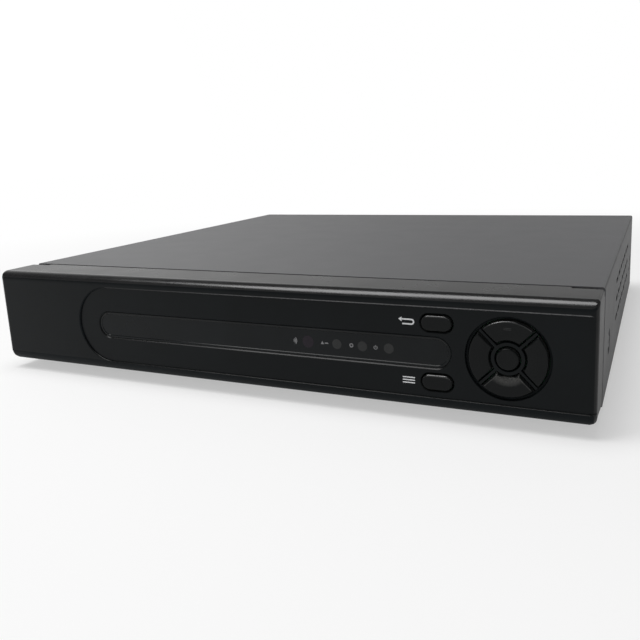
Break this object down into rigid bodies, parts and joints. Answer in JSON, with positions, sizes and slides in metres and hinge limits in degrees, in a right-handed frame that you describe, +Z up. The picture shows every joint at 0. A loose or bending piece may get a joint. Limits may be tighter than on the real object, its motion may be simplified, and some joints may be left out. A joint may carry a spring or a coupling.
{
  "type": "dvr recorder",
  "caption": "Flat black desktop video recorder: folded steel case, plastic front with a smoked window, slot keys and a round direction pad, and video, network and power sockets behind.",
  "frame": {"origin": "middle of the recorder's outline, on the floor under its feet", "axes": "+Z up, the front faces -Y, +X to the right as seen from the front"},
  "size_m": [0.3, 0.2874, 0.053],
  "materials": {
    "black_plastic": "satin black",
    "key_plastic": "satin black",
    "smoked_plastic": "smoked, polished",
    "guide_plastic": "clear grey",
    "receiver_plastic": "dark violet, polished",
    "painted_steel": "fine black powder coat",
    "screw_steel": "black zinc",
    "rubber": "matt black",
    "circuit_board": "green lacquer",
    "switch_plastic": "matt black",
    "nickel": "nickel plate",
    "socket_plastic": "matt black",
    "aluminium": "plain"
  },
  "bodies": {
    "recorder": {"front_bezel": "black_plastic", "indicator_window": "smoked_plastic", "alarm_light_guide": "guide_plastic", "record_light_guide": "guide_plastic", "power_light_guide": "guide_plastic", "ir_receiver": "receiver_plastic", "top_cover": "painted_steel", "chassis_base": "painted_steel", "cover_screw_left_front": "screw_steel", "cover_screw_left_rear": "screw_steel", "cover_screw_right_front": "screw_steel", "cover_screw_right_rear": "screw_steel", "rear_screw_left": "screw_steel", "rear_screw_middle": "screw_steel", "rear_screw_right": "screw_steel", "bezel_screw_left": "screw_steel", "bezel_screw_right": "screw_steel", "drive_screw_1": "screw_steel", "drive_screw_2": "screw_steel", "drive_screw_3": "screw_steel", "drive_screw_4": "screw_steel", "front_left_foot": "rubber", "front_right_foot": "rubber", "rear_left_foot": "rubber", "rear_right_foot": "rubber", "keypad_board": "circuit_board", "main_board": "circuit_board", "esc_switch": "switch_plastic", "menu_switch": "switch_plastic", "nav_up_switch": "switch_plastic", "nav_left_switch": "switch_plastic", "nav_down_switch": "switch_plastic", "nav_right_switch": "switch_plastic", "ok_switch": "switch_plastic", "bnc_socket_1": "nickel", "bnc_socket_2": "nickel", "bnc_socket_3": "nickel", "bnc_socket_4": "nickel", "hdmi_socket": "nickel", "usb_socket": "nickel", "lan_socket": "nickel", "clock_battery": "nickel", "audio_socket": "socket_plastic", "vga_socket": "socket_plastic", "terminal_block": "socket_plastic", "power_inlet": "socket_plastic", "drive_cable": "socket_plastic", "keypad_cable": "socket_plastic", "fan_frame": "socket_plastic", "processor_heatsink": "aluminium", "hard_drive": "aluminium"},
    "esc_button": {"esc_button": "key_plastic"},
    "menu_button": {"menu_button": "key_plastic"},
    "nav_up_button": {"nav_up_button": "key_plastic"},
    "nav_left_button": {"nav_left_button": "key_plastic"},
    "nav_down_button": {"nav_down_button": "key_plastic"},
    "nav_right_button": {"nav_right_button": "key_plastic"},
    "ok_button": {"ok_button": "key_plastic"},
    "fan_rotor": {"fan_rotor": "socket_plastic"}
  },
  "joints": [
    {"name": "esc_press", "type": "slide", "parent": "recorder", "child": "esc_button", "axis": [0, 1, 0], "range_m": [0, 0.0005], "stiffness_N_per_m": 2000, "springref_m": -0.0003},
    {"name": "menu_press", "type": "slide", "parent": "recorder", "child": "menu_button", "axis": [0, 1, 0], "range_m": [0, 0.0005], "stiffness_N_per_m": 2000, "springref_m": -0.0003},
    {"name": "nav_up_press", "type": "slide", "parent": "recorder", "child": "nav_up_button", "axis": [0, 1, 0], "range_m": [0, 0.0005], "stiffness_N_per_m": 2000, "springref_m": -0.0003},
    {"name": "nav_left_press", "type": "slide", "parent": "recorder", "child": "nav_left_button", "axis": [0, 1, 0], "range_m": [0, 0.0005], "stiffness_N_per_m": 2000, "springref_m": -0.0003},
    {"name": "nav_down_press", "type": "slide", "parent": "recorder", "child": "nav_down_button", "axis": [0, 1, 0], "range_m": [0, 0.0005], "stiffness_N_per_m": 2000, "springref_m": -0.0003},
    {"name": "nav_right_press", "type": "slide", "parent": "recorder", "child": "nav_right_button", "axis": [0, 1, 0], "range_m": [0, 0.0005], "stiffness_N_per_m": 2000, "springref_m": -0.0003},
    {"name": "ok_press", "type": "slide", "parent": "recorder", "child": "ok_button", "axis": [0, 1, 0], "range_m": [0, 0.0005], "stiffness_N_per_m": 2000, "springref_m": -0.0003},
    {"name": "fan_spin", "type": "hinge", "parent": "recorder", "child": "fan_rotor", "pos_m": [-0.122, 0.128, 0.0265], "axis": [0, 1, 0], "continuous": true}
  ]
}
